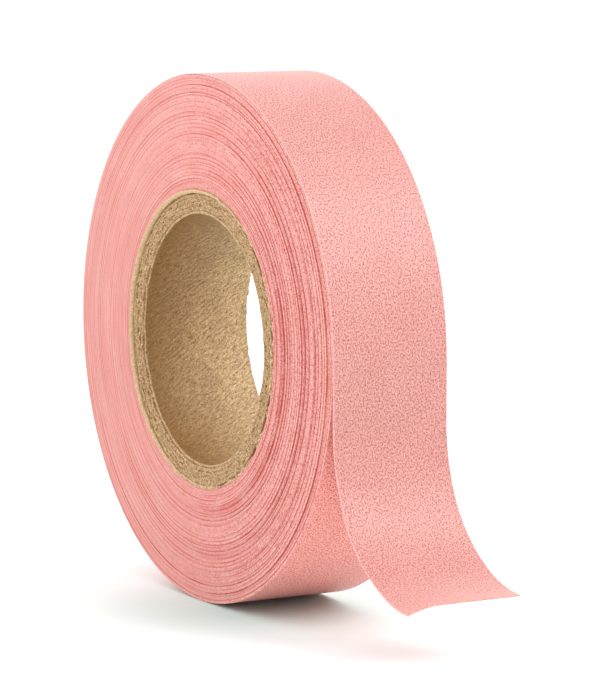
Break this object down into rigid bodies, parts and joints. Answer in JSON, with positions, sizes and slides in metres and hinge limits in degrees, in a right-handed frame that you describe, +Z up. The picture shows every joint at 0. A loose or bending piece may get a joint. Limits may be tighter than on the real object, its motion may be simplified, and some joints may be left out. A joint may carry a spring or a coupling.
{
  "type": "tape roll",
  "caption": "Roll of narrow pink paper tape on a kraft cardboard core, standing on its rim, its loose end hanging and curling outwards.",
  "frame": {"origin": "centre of the core's bore, half way along the roll", "axes": "+Y along the roll's axis, +Z up as it stands on its rim, +X towards the side where the loose end leaves the roll"},
  "size_m": [0.0678, 0.0136, 0.0539],
  "materials": {
    "paper_backing": "matt pink paper with a fine crepe-like grain",
    "adhesive_coat": "thin tinted pressure-sensitive coat, satin",
    "wound_tape": "matt pink paper, its cut edges in fine rings on both sides",
    "kraft_liner": "smooth brown kraft liner",
    "kraft_board": "rough brown core board"
  },
  "bodies": {
    "roll": {"core_inner_liner": "kraft_liner", "core_body_ply_1": "kraft_board", "core_body_ply_2": "kraft_board", "core_body_ply_3": "kraft_board", "core_body_ply_4": "kraft_board", "core_outer_ply": "kraft_liner", "tape_winding": "wound_tape"},
    "free_lap_1": {"free_lap_backing_1": "paper_backing", "free_lap_adhesive_1": "adhesive_coat"},
    "free_lap_2": {"free_lap_backing_2": "paper_backing", "free_lap_adhesive_2": "adhesive_coat"},
    "free_lap_3": {"free_lap_backing_3": "paper_backing", "free_lap_adhesive_3": "adhesive_coat"},
    "free_lap_4": {"free_lap_backing_4": "paper_backing", "free_lap_adhesive_4": "adhesive_coat"},
    "free_lap_5": {"free_lap_backing_5": "paper_backing", "free_lap_adhesive_5": "adhesive_coat"},
    "free_lap_6": {"free_lap_backing_6": "paper_backing", "free_lap_adhesive_6": "adhesive_coat"},
    "free_lap_7": {"free_lap_backing_7": "paper_backing", "free_lap_adhesive_7": "adhesive_coat"},
    "free_lap_8": {"free_lap_backing_8": "paper_backing", "free_lap_adhesive_8": "adhesive_coat"},
    "free_lap_9": {"free_lap_backing_9": "paper_backing", "free_lap_adhesive_9": "adhesive_coat"},
    "tail_1": {"tail_backing_1": "paper_backing", "tail_adhesive_1": "adhesive_coat"},
    "tail_2": {"tail_backing_2": "paper_backing", "tail_adhesive_2": "adhesive_coat"},
    "tail_3": {"tail_backing_3": "paper_backing", "tail_adhesive_3": "adhesive_coat"},
    "tail_4": {"tail_backing_4": "paper_backing", "tail_adhesive_4": "adhesive_coat"},
    "tail_5": {"tail_backing_5": "paper_backing", "tail_adhesive_5": "adhesive_coat"},
    "tail_6": {"tail_backing_6": "paper_backing", "tail_adhesive_6": "adhesive_coat"}
  },
  "joints": [
    {"name": "peel", "type": "hinge", "parent": "roll", "child": "free_lap_1", "pos_m": [0.00003, 0, 0.027], "axis": [0, -1, 0], "range_deg": [0, 10]},
    {"name": "peel_2", "type": "hinge", "parent": "free_lap_1", "child": "free_lap_2", "pos_m": [0.00472, 0, 0.02658], "axis": [0, -1, 0], "range_deg": [0, 10]},
    {"name": "peel_3", "type": "hinge", "parent": "free_lap_2", "child": "free_lap_3", "pos_m": [0.00926, 0, 0.02536], "axis": [0, -1, 0], "range_deg": [0, 10]},
    {"name": "peel_4", "type": "hinge", "parent": "free_lap_3", "child": "free_lap_4", "pos_m": [0.01353, 0, 0.02337], "axis": [0, -1, 0], "range_deg": [0, 10]},
    {"name": "peel_5", "type": "hinge", "parent": "free_lap_4", "child": "free_lap_5", "pos_m": [0.01738, 0, 0.02066], "axis": [0, -1, 0], "range_deg": [0, 10]},
    {"name": "peel_6", "type": "hinge", "parent": "free_lap_5", "child": "free_lap_6", "pos_m": [0.0207, 0, 0.01733], "axis": [0, -1, 0], "range_deg": [0, 10]},
    {"name": "peel_7", "type": "hinge", "parent": "free_lap_6", "child": "free_lap_7", "pos_m": [0.0234, 0, 0.01347], "axis": [0, -1, 0], "range_deg": [0, 10]},
    {"name": "peel_8", "type": "hinge", "parent": "free_lap_7", "child": "free_lap_8", "pos_m": [0.02538, 0, 0.00921], "axis": [0, -1, 0], "range_deg": [0, 10]},
    {"name": "peel_9", "type": "hinge", "parent": "free_lap_8", "child": "free_lap_9", "pos_m": [0.0266, 0, 0.00466], "axis": [0, -1, 0], "range_deg": [0, 10]},
    {"name": "tail_curl", "type": "hinge", "parent": "free_lap_9", "child": "tail_1", "pos_m": [0.02694, 0, -0.00593], "axis": [0, -1, 0], "range_deg": [-15, 15]},
    {"name": "tail_curl_2", "type": "hinge", "parent": "tail_1", "child": "tail_2", "pos_m": [0.0275, 0, -0.01014], "axis": [0, -1, 0], "range_deg": [-15, 15]},
    {"name": "tail_curl_3", "type": "hinge", "parent": "tail_2", "child": "tail_3", "pos_m": [0.02913, 0, -0.01406], "axis": [0, -1, 0], "range_deg": [-15, 15]},
    {"name": "tail_curl_4", "type": "hinge", "parent": "tail_3", "child": "tail_4", "pos_m": [0.03172, 0, -0.01742], "axis": [0, -1, 0], "range_deg": [-15, 15]},
    {"name": "tail_curl_5", "type": "hinge", "parent": "tail_4", "child": "tail_5", "pos_m": [0.03439, 0, -0.01946], "axis": [0, -1, 0], "range_deg": [-15, 15]},
    {"name": "tail_curl_6", "type": "hinge", "parent": "tail_5", "child": "tail_6", "pos_m": [0.0375, 0, -0.02074], "axis": [0, -1, 0], "range_deg": [-15, 15]}
  ],
  "couplings": [
    {"joint": "peel_2", "follows": "peel", "ratio": 1},
    {"joint": "peel_3", "follows": "peel", "ratio": 1},
    {"joint": "peel_4", "follows": "peel", "ratio": 1},
    {"joint": "peel_5", "follows": "peel", "ratio": 1},
    {"joint": "peel_6", "follows": "peel", "ratio": 1},
    {"joint": "peel_7", "follows": "peel", "ratio": 1},
    {"joint": "peel_8", "follows": "peel", "ratio": 1},
    {"joint": "peel_9", "follows": "peel", "ratio": 1},
    {"joint": "tail_curl_2", "follows": "tail_curl", "ratio": 1},
    {"joint": "tail_curl_3", "follows": "tail_curl", "ratio": 1},
    {"joint": "tail_curl_4", "follows": "tail_curl", "ratio": 1},
    {"joint": "tail_curl_5", "follows": "tail_curl", "ratio": 1},
    {"joint": "tail_curl_6", "follows": "tail_curl", "ratio": 1}
  ]
}
